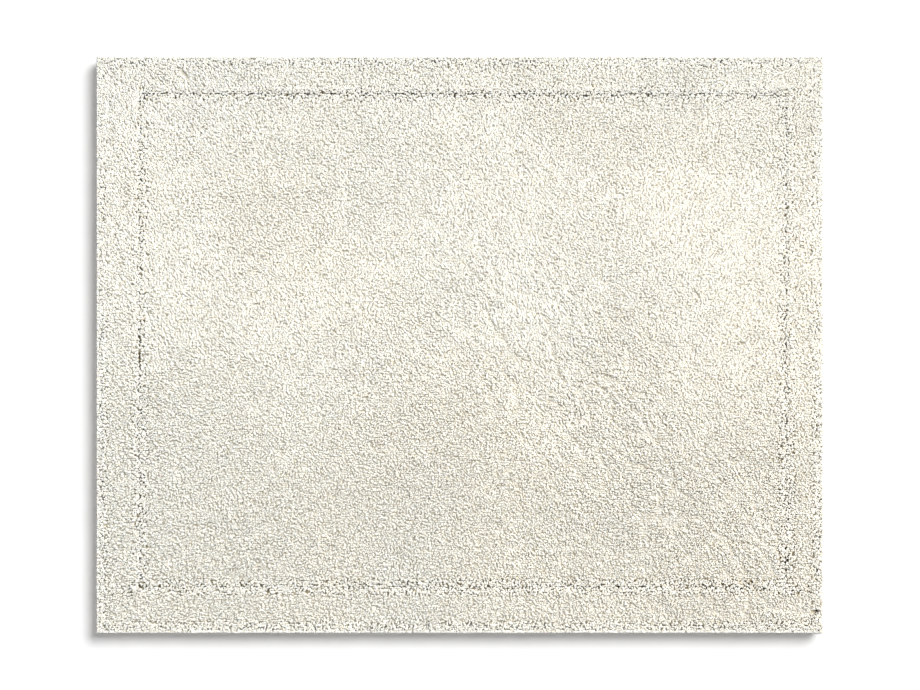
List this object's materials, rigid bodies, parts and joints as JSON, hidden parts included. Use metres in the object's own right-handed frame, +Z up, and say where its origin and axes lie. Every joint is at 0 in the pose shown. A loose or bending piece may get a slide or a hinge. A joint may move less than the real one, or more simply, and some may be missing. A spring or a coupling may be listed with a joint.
{
  "type": "bath mat",
  "caption": "Rectangular tufted bath mat: cut pile with an untufted channel near its edge, woven backing, non-slip underside and a taped, mitred hem.",
  "frame": {"origin": "middle of the underside, on the floor", "axes": "+X along the long side, +Y from the near side to the far side, +Z up out of the pile"},
  "size_m": [0.762, 0.605, 0.022],
  "materials": {
    "pile_yarn": "ivory cut pile cotton yarn, brushed",
    "backing_cloth": "plain woven unbleached cloth",
    "lock_latex": "dried latex soaked into the back stitches",
    "grip_latex": "matt foamed non-slip latex",
    "tape_cloth": "herringbone cotton binding tape, slightly bluish white",
    "sewing_thread": "spun polyester thread",
    "label_cloth": "satin woven label, blank"
  },
  "bodies": {
    "root": {"primary_backing": "backing_cloth", "latex_lock_coat": "lock_latex", "grip_coat": "grip_latex", "field_pile": "pile_yarn", "border_pile_left": "pile_yarn", "border_pile_right": "pile_yarn", "border_pile_near": "pile_yarn", "border_pile_far": "pile_yarn", "hem_tape_left": "tape_cloth", "hem_tape_right": "tape_cloth", "hem_tape_near": "tape_cloth", "hem_tape_far": "tape_cloth", "hem_edge_stitching": "sewing_thread", "hem_inner_stitching": "sewing_thread", "corner_tacks": "sewing_thread", "care_label": "label_cloth", "label_stitching": "sewing_thread"}
  },
  "joints": []
}
